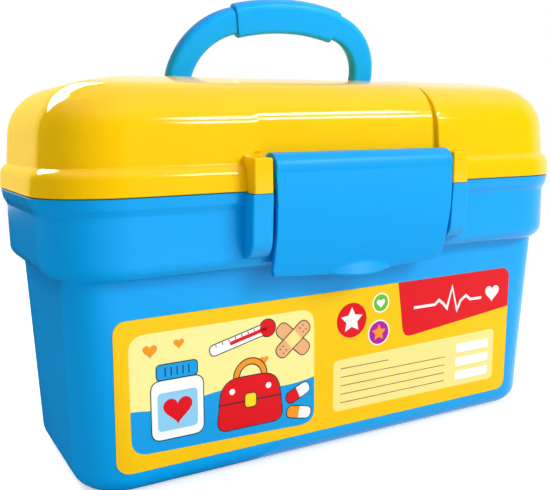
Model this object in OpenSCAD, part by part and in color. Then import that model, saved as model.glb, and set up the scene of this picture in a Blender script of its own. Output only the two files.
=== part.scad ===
// Toy doctor case: a child's hinged carrying case with a domed lid, a front latch and a folding handle.
// Millimetres. +X is the case's right, +Y its back, +Z up. The origin is the middle of the base.

/* [Case] */
// Length over the rim
rim_length = 260; // [200:1:340]
// Depth over the rim
rim_depth = 121.9; // [100:0.1:180]
// Corner radius of the rim, seen from above
rim_corner = 32; // [29:0.5:36]
// Wall thickness of the tub and the lid
wall = 2.2; // [1.6:0.1:2.8]
// Height of the seam between tub and lid
seam_height = 119.2; // [100:0.1:150]
// Gap between the tub's rim and the lid's rim
seam_gap = 0.3; // [0.2:0.05:0.6]

/* [Tub] */
// How far the tub's walls stand inside the rim at the base
base_inset = 13.4; // [12:0.1:15]
// Corner radius of the tub near the base
base_corner = 18; // [16:0.5:24]
// Radius of the edge between the walls and the floor
base_round = 8.3; // [4:0.1:12]
// How far the walls lean out from the base to the band
wall_draft = 2.4; // [0.5:0.1:3.5]
// Height of the band round the top of the tub
band_height = 31.6; // [26:0.2:40]
// Radius of the band's lower edge
band_round = 6.3; // [3:0.1:8]
// Inset of the band's face from the rim
band_inset = 2.7; // [2:0.1:4]
// Height of the flange at the tub's rim
flange_height = 6.8; // [5:0.1:9]
// Height of the locating lip above the tub's rim
lip_height = 3; // [1.5:0.1:4]
// Thickness of the locating lip
lip_thickness = 1.6; // [1:0.1:2]

/* [Lid] */
// Height of the lid from the seam to the top of its crown
lid_height = 47.1; // [42:0.1:55]
// Radius of the lid rim's upper edge
rim_round = 5.4; // [4:0.1:6]
// Height of the lid's rim to the middle of its upper edge
rim_height = 6.1; // [5:0.1:8]
// Inset of the lid's wall from the rim, at its foot
lid_wall_inset = 3.6; // [2.6:0.1:5]
// Lean of the lid's walls, in degrees
lid_draft = 5; // [2:0.5:8]
// Height of the wall's top, where the shoulder starts
shoulder_start = 23.3; // [20:0.1:26]
// Radius of the lid's shoulder
shoulder_round = 21.6; // [16:0.1:22]
// Half the length of the recessed middle section
middle_half = 45; // [38:0.5:52]
// Depth of the middle section's recess in the wall
middle_depth = 3; // [1.5:0.1:3.5]
// Depth of the middle section's recess at the crown
middle_top_depth = 0.2; // [0.2:0.1:1]

/* [Rear hinges] */
// Distance from each end of the rim to the middle of the hinge near it
hinge_inset = 55; // [48:1:65]
// Outer radius of the hinge knuckles
knuckle_radius = 4.5; // [4:0.1:5]
// Distance of the hinge axis behind the rim
hinge_offset = 6.35; // [5.8:0.05:7]
// Length of the lid's knuckle
lid_knuckle = 14; // [8:0.5:20]
// Length of each of the tub's knuckles
tub_knuckle = 8; // [5:0.5:12]
// Radius of the hinge pins
hinge_pin_radius = 1.6; // [1.2:0.1:2]

/* [Latch] */
// Width of each ear and post beside the latch
ear_width = 8.2; // [6:0.1:10]
// How far the ears and posts stand out in front of the rim
ear_reach = 6.3; // [5.8:0.1:8]
// Height of the ears above the seam
ear_height = 14.9; // [13.6:0.1:17]
// How far the ears' tops slope down to the front
ear_drop = 3.5; // [1:0.1:5]
// Depth of that slope
ear_slope = 7.8; // [4:0.1:9]
// Height of the posts below the seam
post_height = 26.7; // [22:0.1:30]
// Radius of the posts' lower end
post_round = 8.8; // [5:0.1:9.5]
// Radius of the latch's hooded top edge
barrel_radius = 5.8; // [4.5:0.1:6]
// Height of the latch's axis above the seam
latch_axis_height = 8.9; // [8:0.1:10]
// Height of the latch, from its axis to its lower corners
latch_drop = 43.7; // [38:0.1:50]
// Curve of the latch's face, as a radius
latch_face_radius = 88; // [70:1:160]
// Height of the seam above the latch face's foremost line
latch_front_drop = 1.2; // [0:0.1:5]
// Thickness of the latch's plate
latch_thickness = 2.3; // [1.8:0.1:3]
// Gap at each side of the latch
latch_gap = 1.1; // [0.5:0.1:2]
// How much the latch's lower edge bows down
latch_bow = 2.2; // [0:0.1:4]
// Half the width of the thumb lip
lip_half = 17; // [10:0.5:20]
// How far the thumb lip flares out
lip_flare = 4.6; // [2:0.1:5]
// Height of the thumb lip
lip_rise = 7.8; // [5:0.1:11]
// How far the thumb lip reaches below the latch's bowed edge
lip_drop = 2; // [0:0.1:3]
// Radius of the latch's rod
rod_radius = 1.6; // [1.2:0.1:2]
// Half the length of the catch bar on the tub
catch_half = 20; // [10:1:35]
// How far the catch bar stands out from the band
catch_reach = 1.2; // [0.8:0.1:1.6]

/* [Handle] */
// Half the distance between the middles of the handle's arms
arm_middle = 50.6; // [45:0.1:56]
// Width of the arms
arm_width = 12.2; // [9:0.1:13]
// Thickness of the arms
arm_thickness = 6.8; // [6:0.1:9]
// Radius of the arms' long edges
arm_round = 2.6; // [1:0.1:2.8]
// Middle radius of the bends between arms and grip
bend_radius = 30.1; // [26:0.1:34]
// Straight length of the arms above the pivot
arm_straight = 6; // [4:0.1:12]
// Inner radius of the grip's curve
grip_curve = 96; // [80:1:120]
// Rise of the grip's underside above the pivot
grip_rise = 32.3; // [30:0.1:38]
// Depth of the grip
grip_depth = 14.4; // [14:0.1:18]
// Half the angle that the grip spans, in degrees
grip_half_angle = 15; // [13:0.1:17]
// How far the grip stands out from the arms' faces
grip_proud = 0.9; // [0.6:0.1:1.4]
// Forward lean of the handle as it stands, in degrees
handle_lean = 25.5; // [0:0.5:35]
// Distance of the handle's pivot behind the middle of the case
pivot_back = 17.3; // [12:0.1:20]
// Depth of the handle's pivot below the crown
pivot_depth = 5.9; // [5.4:0.1:8]
// Radius of the handle's feet
foot_radius = 5.5; // [4.5:0.1:5.5]
// Radius of the handle's pins
handle_pin_radius = 2; // [1.5:0.1:2.5]
// Gap between each foot and the side of the well
foot_gap = 0.6; // [0.3:0.1:1.2]
// Distance of the well's front edge before the middle of the case
well_front = 18; // [16:0.5:20]
// Gap between the handle's feet and the back of the well
well_gap = 2.2; // [2:0.1:4]
// Corner radius of the well
well_corner = 2; // [1:0.1:2]

/* [Label] */
// Left edge of the label, from the middle of the case
label_left = 105.4; // [80:0.1:106]
// Right edge of the label, from the middle of the case
label_right = 98; // [80:0.1:106]
// Height of the label's lower edge
label_bottom = 9.6; // [9:0.1:20]
// Height of the label's upper edge
label_top = 71.6; // [50:0.1:80]
// Corner radius of the label
label_corner = 5; // [2:0.5:10]
// Thickness of the label
label_thickness = 0.3; // [0.2:0.05:0.5]

/* [Hidden] */
$fn = 96;

tub_blue = "#1ea6f2";
lid_yellow = "#ffd328";
label_yellow = "#fdca03";
steel = "#b9bcc0";

push_fit = 0.02;
running_fit = 0.08;
side_gap = 0.4;
// Far enough to cut right through
beyond = 300;
// How far the pieces of the dome's outline run into one another
dome_overlap = 3;
// How far two of its arcs are set into one another where they meet, so that they cross cleanly
arc_bite = 0.03;

// The rim's outline is a rectangle, the core, grown by the corner radius.
core_x = rim_length / 2 - rim_corner;
core_y = rim_depth / 2 - rim_corner;

// The tub below its band has a core of its own.
tub_core_x = rim_length / 2 - base_inset + 1.6 - base_corner;
tub_core_y = rim_depth / 2 - base_inset - base_corner;
tub_top = seam_height - seam_gap;
band_bottom = tub_top - band_height;
band_face = rim_corner - band_inset - 0.1;
band_drafted = rim_corner - band_inset + 0.05;
flange_bottom = tub_top - flange_height;
flange_foot = rim_corner - 1.2;
flange_edge = rim_corner - 0.4;
flange_chamfer = 2.7;
lip_inner = band_drafted - wall;

// The lid's walls, measured outwards from the core
crown_top = seam_height + lid_height;
rim_top = seam_height + rim_height;
rim_edge = rim_corner - 0.5;
rim_centre = rim_edge - rim_round;
lid_wall_foot = rim_corner - lid_wall_inset;
wall_foot_height = rim_top + rim_round;
wall_top_height = seam_height + shoulder_start;
lid_wall_top = lid_wall_foot - (wall_top_height - wall_foot_height - 1) * tan(lid_draft);
shoulder_centre_r = lid_wall_top - shoulder_round * cos(lid_draft);
shoulder_centre_z = wall_top_height - shoulder_round * sin(lid_draft);

// The middle section: the same curves, set in by its depths
middle_wall_foot = lid_wall_foot - middle_depth;
middle_wall_top = lid_wall_top - middle_depth;
middle_round = shoulder_round - (middle_depth + middle_top_depth) / 2 + 0.2;
middle_centre_r = middle_wall_top - middle_round * cos(lid_draft);
middle_centre_z = wall_top_height - middle_round * sin(lid_draft) + 1.1;

// The latch
ear_front = rim_depth / 2 + ear_reach;
latch_y = -(rim_depth / 2 + 0.45);
latch_z = seam_height + latch_axis_height;
latch_half = middle_half - 0.1 - latch_gap;
latch_taper = 0.7;
latch_front_z = seam_height - latch_front_drop;
latch_face_y = -ear_front + 0.05 + latch_face_radius;
latch_bottom = latch_z - latch_drop;
rod_socket = 5;
ledge_height = 2.3;
middle_cut_y = core_y + middle_wall_foot;
catch_top = band_bottom + 14.7;
catch_bottom = band_bottom + 12.1;
rib_top = catch_bottom - 0.5;
rib_height = 2.5;
rib_gap = 0.35;
// The rib starts inside the plate, at the middle of its thickness
rib_root = latch_face_y - sqrt(pow(latch_face_radius - latch_thickness / 2, 2)
                               - pow(latch_front_z - rib_top + rib_height, 2));

// The rear hinges
hinge_place = rim_length / 2 - hinge_inset;
hinge_y = rim_depth / 2 + hinge_offset;
hinge_z = seam_height - seam_gap / 2;

// The handle
pivot_z = crown_top - pivot_depth;
well_half = arm_middle + arm_width / 2 + foot_gap;
well_back = pivot_back + foot_radius + well_gap;
well_floor = pivot_z - foot_radius - 0.7;
grip_centre = grip_rise - grip_curve;
spine_inset = 2;
spine_half_angle = grip_half_angle - 2.7;
boss_radius = handle_pin_radius + 2.6;
boss_length = 4.2;
pin_end = well_half + wall + boss_length - 1.5;

// A slice of a disc, from one angle to another less than 180 degrees on
module slice(centre, radius, from, to) {
    reach = 2 * radius;
    middle = (from + to) / 2;
    intersection() {
        translate(centre) circle(r = radius, $fn = radius > 50 ? 360 : 96);
        polygon([centre,
                 centre + reach * [cos(from), sin(from)],
                 centre + reach * 1.4 * [cos(middle), sin(middle)],
                 centre + reach * [cos(to), sin(to)]]);
    }
}

// A rectangle about the origin with round corners
module rounded(width, height, radius) {
    x = width / 2;
    y = height / 2;
    polygon([[-x + radius, -y], [x - radius, -y], [x - radius, -y + radius], [x, -y + radius],
             [x, y - radius], [x - radius, y - radius], [x - radius, y], [-x + radius, y],
             [-x + radius, y - radius], [-x, y - radius], [-x, -y + radius], [-x + radius, -y + radius]]);
    for (corner = [[1, 1, 0], [-1, 1, 90], [-1, -1, 180], [1, -1, 270]])
        slice([corner.x * (x - radius), corner.y * (y - radius)], radius, corner.z, corner.z + 90);
}

// A profile in (depth, height), drawn out along X from one place to another
module along_x(from, to) {
    translate([from, 0, 0]) rotate([90, 0, 90]) linear_extrude(to - from) children();
}

// The same, on both sides of the case
module both_sides() {
    children();
    mirror([1, 0, 0]) children();
}

module front_and_back() {
    children();
    mirror([0, 1, 0]) children();
}

// Sweeps a profile in (distance out from the core, height) round a core rectangle's four corners
module round_corners(half_x, half_y) {
    both_sides() front_and_back()
        translate([half_x, half_y, 0]) rotate_extrude(angle = 90) children();
}

// Draws the same profile along the core rectangle's two ends
module round_ends(half_x, half_y) {
    both_sides()
        translate([half_x, half_y, 0]) rotate([90, 0, 0]) linear_extrude(2 * half_y) children();
}

// Draws it along the front and the back as well
module round_core(half_x, half_y) {
    round_corners(half_x, half_y) children();
    round_ends(half_x, half_y) children();
    front_and_back() along_x(-half_x, half_x) translate([half_y, 0]) children();
}

// The middle of a swept solid, inside its core
module core_block(half_x, half_y, from, to) {
    translate([-half_x, -half_y, from]) cube([2 * half_x, 2 * half_y, to - from]);
}

// The tub's lower walls. thin is how far the outline is set in, for the inside.
module tub_profile(thin, top) {
    radius = base_round - thin;
    start = base_corner - base_round;
    lean = wall_draft / (band_bottom - base_round);
    polygon([[0, thin], [start, thin], [start, base_round], [base_corner - thin, base_round],
             [base_corner - thin + lean * (top - base_round), top], [0, top]]);
    slice([start, base_round], radius, 270, 360);
}

module tub_body(thin, top) {
    round_core(tub_core_x, tub_core_y) tub_profile(thin, top);
    core_block(tub_core_x, tub_core_y, thin, top);
}

// The band round the tub's top, with the flange at the rim
module band_profile() {
    centre = band_face - band_round;
    polygon([[0, band_bottom], [centre, band_bottom], [centre, band_bottom + band_round],
             [band_face, band_bottom + band_round], [band_drafted, flange_bottom],
             [flange_foot, flange_bottom + flange_chamfer], [flange_edge, tub_top], [0, tub_top]]);
    slice([centre, band_bottom + band_round], band_round, 270, 360);
}

module band_inside_profile() {
    centre = band_face - band_round;
    polygon([[0, band_bottom + wall], [centre, band_bottom + wall], [centre, band_bottom + band_round],
             [band_face - wall, band_bottom + band_round], [lip_inner, flange_bottom],
             [lip_inner, tub_top + beyond], [0, tub_top + beyond]]);
    slice([centre, band_bottom + band_round], band_round - wall, 270, 360);
}

module band() {
    round_core(core_x, core_y) band_profile();
    core_block(core_x, core_y, band_bottom, tub_top);
}

module tub_inside() {
    tub_body(wall, band_bottom + wall + 1);
    round_core(core_x, core_y) band_inside_profile();
    core_block(core_x, core_y, band_bottom + wall, tub_top + beyond);
}

// The lip that centres the lid. It stops short of the latch, where the lid's rim is solid.
module locating_lip() {
    gap_half = middle_half + wall + 1.5;
    module lip_profile() translate([lip_inner, tub_top - 1]) square([lip_thickness, lip_height + 1]);
    round_corners(core_x, core_y) lip_profile();
    round_ends(core_x, core_y) lip_profile();
    along_x(-core_x, core_x) translate([core_y, 0]) lip_profile();
    both_sides() mirror([0, 1, 0]) along_x(gap_half, core_x) translate([core_y, 0]) lip_profile();
}

// A post that carries on the line of the lid's ear
module post() {
    foot = -ear_front + 1.3;
    centre = [foot + post_round, tub_top - post_height + post_round];
    back = -(core_y + band_face - 1);
    mirrored_x = middle_half - 0.1;
    along_x(mirrored_x, mirrored_x + ear_width) {
        polygon([[back, tub_top], [-ear_front - 0.05, tub_top], [foot, centre.y], centre,
                 [centre.x, centre.y - post_round], [back, centre.y - post_round]]);
        slice(centre, post_round, 180, 270);
    }
}

module tub_knuckles() {
    half = lid_knuckle / 2 + side_gap;
    for (side = [-1, 1])
        translate([side * (half + tub_knuckle / 2), 0, 0])
            along_x(-tub_knuckle / 2, tub_knuckle / 2) {
                translate([hinge_y, hinge_z]) circle(r = knuckle_radius);
                polygon([[core_y + band_face - 1, tub_top - 0.3], [hinge_y, tub_top - 0.3],
                         [hinge_y, hinge_z - knuckle_radius + 0.05],
                         [core_y + band_face - 1, flange_bottom - 8.5]]);
            }
}

module tub_shell() {
    hinge_length = lid_knuckle + 2 * side_gap + 2 * tub_knuckle + 2;
    color(tub_blue)
    difference() {
        union() {
            difference() {
                union() {
                    tub_body(0, band_bottom + 2);
                    band();
                    locating_lip();
                }
                tub_inside();
            }
            both_sides() post();
            along_x(-catch_half, catch_half)
                translate([-(core_y + band_face + catch_reach), catch_bottom])
                    square([catch_reach + 1, catch_top - catch_bottom]);
            both_sides() translate([hinge_place, 0, 0]) tub_knuckles();
        }
        both_sides() translate([hinge_place - hinge_length / 2, hinge_y, hinge_z])
            rotate([0, 90, 0]) cylinder(r = hinge_pin_radius + push_fit, h = hinge_length);
    }
}

// Radius of the crown that a shoulder of this radius runs into, thin being the inset of the inside
function crown_radius(centre_r, centre_z, radius, top) =
    let (span = core_y + centre_r, rise = top - centre_z - radius)
    (span * span + (rise + radius) * (rise + radius) - radius * radius) / (2 * rise);

// Half of the lid's upper outline, from the crown's middle line at -core_y out to the wall.
// foot is the height at which it starts.
module dome_profile(wall_foot, wall_top, centre, radius, top, thin, foot) {
    crown = crown_radius(centre.x, centre.y, radius, top);
    crown_z = top - crown;
    angle = atan2(centre.y - crown_z, centre.x + core_y);
    wall_end = centre + (radius - thin) * [cos(lid_draft), sin(lid_draft)] - [arc_bite, 0];
    polygon([[-core_y, foot], [wall_foot - thin, foot], [wall_foot - thin, wall_foot_height + 1],
             wall_end, centre + [0, dome_overlap], [-core_y, centre.y + dome_overlap]]);
    slice(centre, radius - thin, lid_draft - 2 * dome_overlap, angle + 2 * dome_overlap);
    intersection() {
        slice([-core_y, crown_z], crown - thin - arc_bite, angle, 90);
        translate([-core_y, foot]) square([beyond, beyond]);
    }
}

module main_dome(thin, foot) {
    dome_profile(lid_wall_foot, lid_wall_top, [shoulder_centre_r, shoulder_centre_z],
                 shoulder_round, crown_top, thin, foot);
}

module middle_dome(thin, foot) {
    dome_profile(middle_wall_foot, middle_wall_top, [middle_centre_r, middle_centre_z],
                 middle_round, crown_top - middle_top_depth, thin, foot);
}

// The lid's rim, from the seam to its round upper edge
module rim_profile(thin) {
    bottom = seam_height - (thin > 0 ? 1 : 0);
    polygon([[0, bottom], [rim_corner - thin, bottom], [rim_edge - thin, rim_top], [rim_centre, rim_top],
             [rim_centre, rim_top + rim_round - thin], [0, rim_top + rim_round - thin]]);
    slice([rim_centre, rim_top], rim_round - thin, 0, 90);
}

// The part of a profile that lies outside the core
module outside_core() {
    intersection() {
        children();
        translate([0, -beyond]) square([beyond, 3 * beyond]);
    }
}

// One end of the lid, from the middle section outwards
module lid_end(thin, from) {
    foot = seam_height - (thin > 0 ? 1 : 0);
    crown_end = core_x - core_y;
    module end_outline() {
        rim_profile(thin);
        outside_core() main_dome(thin, foot);
    }
    for (side = [0, 1]) mirror([0, side, 0]) {
        translate([core_x, core_y, 0]) rotate_extrude(angle = 90) end_outline();
        along_x(from, core_x) translate([core_y, 0]) end_outline();
    }
    translate([core_x, core_y, 0]) rotate([90, 0, 0]) linear_extrude(2 * core_y) end_outline();
    intersection() {
        front_and_back() along_x(from, core_x) translate([core_y, 0]) intersection() {
            main_dome(thin, foot);
            translate([-core_y, -beyond]) square([core_y, 3 * beyond]);
        }
        translate([0, core_y, 0]) rotate([90, 0, 0]) linear_extrude(2 * core_y) {
            translate([core_x, 0]) intersection() {
                main_dome(thin, foot);
                translate([-core_y, -beyond]) square([core_y, 3 * beyond]);
            }
            translate([from, foot]) square([crown_end - from, crown_top - thin - foot]);
        }
    }
}

// The knuckle in the middle of each hinge, with the web that joins it to the lid's rim
module lid_knuckle_shape() {
    along_x(-lid_knuckle / 2, lid_knuckle / 2) {
        translate([hinge_y, hinge_z]) circle(r = knuckle_radius);
        polygon([[rim_depth / 2 - 0.6, seam_height + 0.6], [hinge_y, seam_height + 0.6],
                 [hinge_y, hinge_z + knuckle_radius - 0.05], [rim_depth / 2 - 0.6, rim_top - 0.4]]);
    }
}

module ear() {
    inner = middle_half - 0.1;
    front = -ear_front;
    top = seam_height + ear_height;
    back = -(core_y + middle_wall_foot);
    along_x(inner, inner + ear_width)
        polygon([[back, seam_height], [front, seam_height], [front, top - ear_drop],
                 [front + ear_slope, top], [back, top]]);
}

// The well's outline, seen from above, grown by a margin
module well_outline(margin) {
    translate([0, (well_back - well_front) / 2])
        rounded(2 * (well_half + margin), well_back + well_front + 2 * margin, well_corner + margin);
}

module lid_inside() {
    start = middle_half + wall;
    difference() {
        union() {
            both_sides() lid_end(wall, start);
            front_and_back() along_x(-start, start) translate([core_y, 0])
                middle_dome(wall, seam_height - 1);
            along_x(-start, start) translate([core_y, 0]) rim_profile(wall);
        }
        translate([0, 0, well_floor - wall]) linear_extrude(crown_top - well_floor + wall) well_outline(wall);
        both_sides() translate([well_half, pivot_back, pivot_z]) rotate([0, 90, 0])
            cylinder(r = boss_radius, h = wall + boss_length);
    }
}

module lid_shell() {
    color(lid_yellow)
    difference() {
        union() {
            both_sides() lid_end(0, middle_half);
            front_and_back() along_x(-middle_half, middle_half) translate([core_y, 0]) {
                middle_dome(0, seam_height);
                rim_profile(0);
            }
            both_sides() ear();
            both_sides() translate([hinge_place, 0, 0]) lid_knuckle_shape();
        }
        lid_inside();
        // The rim is cut away behind the latch's hooded edge
        translate([-middle_half + 0.1, -beyond, seam_height + ledge_height])
            cube([2 * middle_half - 0.2, beyond - middle_cut_y, wall_foot_height + 1 - seam_height - ledge_height]);
        translate([0, 0, well_floor]) linear_extrude(beyond) well_outline(0);
        both_sides() translate([well_half - 1, pivot_back, pivot_z]) rotate([0, 90, 0])
            cylinder(r = handle_pin_radius + push_fit, h = pin_end - well_half + 1.3);
        both_sides() translate([middle_half - 1, latch_y, latch_z]) rotate([0, 90, 0])
            cylinder(r = rod_radius + push_fit, h = rod_socket + 1);
        both_sides() translate([hinge_place - lid_knuckle, hinge_y, hinge_z]) rotate([0, 90, 0])
            cylinder(r = hinge_pin_radius + running_fit, h = 2 * lid_knuckle);
    }
}

// The latch's curved plate, in (depth, height)
module latch_plate_profile() {
    low = latch_bottom - latch_bow;
    intersection() {
        difference() {
            translate([latch_face_y, latch_front_z]) circle(r = latch_face_radius, $fn = 360);
            translate([latch_face_y, latch_front_z]) circle(r = latch_face_radius - latch_thickness, $fn = 360);
        }
        polygon([[latch_face_y - latch_face_radius - 5, low - 1], [latch_y + 6, low - 1],
                 [latch_y, latch_z - 2], [latch_y, latch_z], [latch_y - barrel_radius - 5, latch_z]]);
    }
}

// The latch's outline, seen from the front: a little narrower at the foot, with a bowed lower edge
module latch_outline() {
    foot_half = latch_half - latch_taper;
    bow_radius = (foot_half * foot_half + latch_bow * latch_bow) / (2 * latch_bow);
    top = latch_z + barrel_radius + 1;
    intersection() {
        polygon([[-foot_half, latch_bottom - latch_bow - 1], [foot_half, latch_bottom - latch_bow - 1],
                 [latch_half, latch_z], [latch_half, top], [-latch_half, top], [-latch_half, latch_z]]);
        translate([0, latch_bottom - latch_bow + bow_radius]) circle(r = bow_radius, $fn = 360);
    }
}

// The thumb lip: the front of a cone shell that widens downwards out of the plate
module thumb_lip() {
    low = latch_bottom - latch_bow - lip_drop;
    face = latch_face_y - sqrt(pow(latch_face_radius, 2) - pow(latch_front_z - low - lip_rise / 2, 2));
    inner = (lip_half * lip_half - lip_flare * lip_flare) / (2 * lip_flare);
    shell = latch_thickness - 0.3;
    intersection() {
        translate([0, face + inner, low]) difference() {
            cylinder(r1 = inner + lip_flare, r2 = inner, h = lip_rise);
            translate([0, 0, -0.01])
                cylinder(r1 = inner + lip_flare - shell, r2 = inner - shell, h = lip_rise + 0.02);
        }
        translate([-lip_half, -beyond, low - 1])
            cube([2 * lip_half, beyond + face + latch_thickness / 2, lip_rise + 2]);
    }
}

module latch_flap() {
    rib_face = core_y + band_face + catch_reach + rib_gap;
    color(tub_blue)
    difference() {
        union() {
            intersection() {
                along_x(-latch_half - 1, latch_half + 1) latch_plate_profile();
                translate([0, beyond, 0]) rotate([90, 0, 0]) linear_extrude(2 * beyond) latch_outline();
            }
            translate([-latch_half, latch_y, latch_z]) rotate([0, 90, 0])
                cylinder(r = barrel_radius, h = 2 * latch_half);
            thumb_lip();
            translate([-catch_half + 1, rib_root, rib_top - rib_height])
                cube([2 * catch_half - 2, -rib_face - rib_root, rib_height]);
        }
        translate([-latch_half - 1, latch_y, latch_z]) rotate([0, 90, 0])
            cylinder(r = rod_radius + running_fit, h = 2 * latch_half + 2);
    }
}

module latch_rod() {
    half = middle_half - 0.1 + rod_socket - 0.3;
    color(steel)
    translate([-half, latch_y, latch_z]) rotate([0, 90, 0]) cylinder(r = rod_radius, h = 2 * half);
}

// Places the handle's own drawing: its pivot at the origin, the arms up Z, its thickness along Y
module handle_place() {
    translate([0, pivot_back, pivot_z]) rotate([handle_lean, 0, 0]) children();
}

// A ring section of the handle, drawn round Y. more is an allowance on every face.
module handle_ring(inner, depth, thickness, radius, from, angle, more) {
    rotate([90, 0, 0]) rotate([0, 0, from]) rotate_extrude(angle = angle)
        translate([inner + depth / 2, 0])
            rounded(depth + 2 * more, thickness + 2 * more, radius);
}

// The handle's arch: two bends, and the spine between them inside the grip
module handle_arch(more) {
    both_sides() translate([arm_middle - bend_radius, 0, arm_straight])
        handle_ring(bend_radius - arm_width / 2, arm_width, arm_thickness, arm_round, 0, 90, more);
    translate([0, 0, grip_centre])
        handle_ring(grip_curve + spine_inset, grip_depth - 2 * spine_inset, arm_thickness, arm_round,
                    90 - spine_half_angle, 2 * spine_half_angle, more);
}

module handle_bail() {
    color(tub_blue)
    handle_place() difference() {
        union() {
            handle_arch(0);
            both_sides() translate([arm_middle, 0, 0]) {
                linear_extrude(arm_straight) rounded(arm_width, arm_thickness, arm_round);
                translate([-arm_width / 2, 0, 0]) rotate([0, 90, 0])
                    cylinder(r = foot_radius, h = arm_width);
            }
        }
        translate([-arm_middle - arm_width, 0, 0]) rotate([0, 90, 0])
            cylinder(r = handle_pin_radius + running_fit, h = 2 * (arm_middle + arm_width));
    }
}

module handle_grip() {
    color(tub_blue)
    handle_place() difference() {
        translate([0, 0, grip_centre])
            handle_ring(grip_curve, grip_depth, arm_thickness + 2 * grip_proud, arm_round + 0.6,
                        90 - grip_half_angle, 2 * grip_half_angle, 0);
        handle_arch(running_fit);
    }
}

module handle_pin() {
    start = arm_middle - arm_width / 2 + 0.4;
    color(tub_blue)
    translate([start, pivot_back, pivot_z]) rotate([0, 90, 0])
        cylinder(r = handle_pin_radius, h = pin_end - start);
}

module hinge_pin() {
    length = lid_knuckle + 2 * side_gap + 2 * tub_knuckle + 1.2;
    color(steel)
    translate([hinge_place - length / 2, hinge_y, hinge_z]) rotate([0, 90, 0])
        cylinder(r = hinge_pin_radius, h = length);
}

// The label follows the tub's front wall and the start of its corner
module front_label() {
    module label_edge() translate([(label_right - label_left) / 2, (label_top + label_bottom) / 2])
        rounded(label_left + label_right, label_top - label_bottom, label_corner);
    color(label_yellow)
    intersection() {
        difference() {
            tub_body(-label_thickness, label_top + 5);
            tub_body(0, label_top + 6);
        }
        rotate([90, 0, 0]) linear_extrude(beyond) label_edge();
    }
}

tub_shell();
lid_shell();
latch_flap();
latch_rod();
handle_bail();
handle_grip();
mirror([1, 0, 0]) handle_pin();  // handle_pin_left
handle_pin();  // handle_pin_right
mirror([1, 0, 0]) hinge_pin();  // hinge_pin_left
hinge_pin();  // hinge_pin_right
front_label();
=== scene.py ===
"""The looks of a toy doctor case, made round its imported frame. Meshes are drawn in millimetres."""
import math

import bmesh
import bpy
from mathutils import Matrix, Vector


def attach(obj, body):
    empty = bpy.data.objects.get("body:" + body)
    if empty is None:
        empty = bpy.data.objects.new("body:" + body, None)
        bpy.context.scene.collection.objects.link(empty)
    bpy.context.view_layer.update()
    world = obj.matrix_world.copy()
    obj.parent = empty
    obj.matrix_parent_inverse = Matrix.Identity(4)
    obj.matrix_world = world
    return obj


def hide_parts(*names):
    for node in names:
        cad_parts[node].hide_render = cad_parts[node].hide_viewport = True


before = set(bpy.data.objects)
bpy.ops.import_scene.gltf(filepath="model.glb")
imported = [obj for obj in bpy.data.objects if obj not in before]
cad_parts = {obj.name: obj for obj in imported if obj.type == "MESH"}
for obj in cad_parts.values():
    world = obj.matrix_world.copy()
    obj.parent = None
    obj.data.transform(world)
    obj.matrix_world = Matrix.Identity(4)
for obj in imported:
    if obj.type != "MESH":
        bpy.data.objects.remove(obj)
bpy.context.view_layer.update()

MM = 0.001
JOIN = 0.0005
NEAR = 0.01

# The rim's outline is a core rectangle grown by the rim's corner radius
CORE_X, CORE_Y = 98, 28.95
RIM = 32
SEAM = 119.2
TUB_TOP = 118.9
WALL = 2.2

# The tub: half its length and depth and its corner radius, near the base and under the band
BASE_HALF = (118.2, 47.55)
BASE_CORNER = 21
BASE_ROUND = 8.3
BAND_BOTTOM = 87.3
BODY_GROWTH = (2.45, 2.35)
CORNER_LOSS = 5.5
INNER_CORNER_GAIN = 6
BAND_FILLET = 1.2
BAND_ROUND = 6.3
BAND_FACE = 29.2
BAND_DRAFT = 0.15
FLANGE = 112.1

# The flange's section and the locating lip inside it, in distance out from the core and height. The lip stops
# short of the latch.
FLANGE_SECTION = ((29.45, FLANGE), (29.75, 112.75), (30.5, 114.15), (30.72, 114.55), (30.86, 115),
                  (31.55, 118.3), (31.45, 118.7), (31.1, TUB_TOP))
SEAT_WALL = 1.6
SEAT_TOP = 121.9
SEAT_STOP = 54.8

# The lid's outline, in distance out from the core and height
RIM_EDGE = (31.5, 124.7)
RIM_ROUND = 5.4
LID_WALL = ((28.4, 131.7), (27.42, 142.5))
LID_DRAFT = 5
RIM_POINTS = 20
SHOULDER = 21.6
CROWN_TOP = 166.3
MIDDLE_HALF = 45
MIDDLE_DEPTH = 2.5
MIDDLE_TOP_DEPTH = 0.15
MIDDLE_SHOULDER = 21
MIDDLE_LIFT = 1.2
LEDGE_TOP = 121.5
LEDGE_END = 50
STEP_ROUND = 0.5

# Below this distance from the core, the round corners of the lid's ends ease off towards the crown
EASE_START = 22
EASE = 10

# Ears and posts, from front to back
EAR = (44.9, 53.1)
EAR_FRONT = -67.25
EAR_STEP = -61.1
EAR_BACK = -54.6
EAR_TOP = (132.1, 134.1)
EAR_LOW = 118.55
EAR_ROUND = 0.8
POST_SIDE = 53.9
POST_FRONT = -67.3
POST_SHELF = -60.7
POST_BACK = -57.1
POST_TOP = 118.3
POST_FOOT = (-65.95, 101)
POST_FOOT_ROUND = 8.8
POST_SIDE_ROUND = 2.2

# The latch. Its catch bar and rib are given by front, back, low, high and half their length.
CATCH_BAR = (-59.35, -57.4, 99.4, 102, 20)
SNAP_RIB = (-63.3, -59.75, 96.4, 98.9, 19)
LATCH_AXIS = (-61.4, 128.1)
BARREL = 5.8
LATCH_CENTRE = (20.8, 118)
LATCH_CURVE = 88
LATCH_THICK = 2.3
LATCH_EDGE = 0.9
LATCH_FINE = 96
LATCH_FACE_TOP = 125.6
LATCH_BACK_TOP = 122.6
LATCH_HALF = 43.5
LATCH_PLAY = 0.5
LATCH_CORNER = 3.4
LATCH_TAPER = 0.7
LATCH_LOW = 84.4
LATCH_BOW = 2.2
LIP_HALF = 19
LIP_RISE = 5.8
LIP_FLARE = 4.9
LIP_DROP = 1.1

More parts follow.
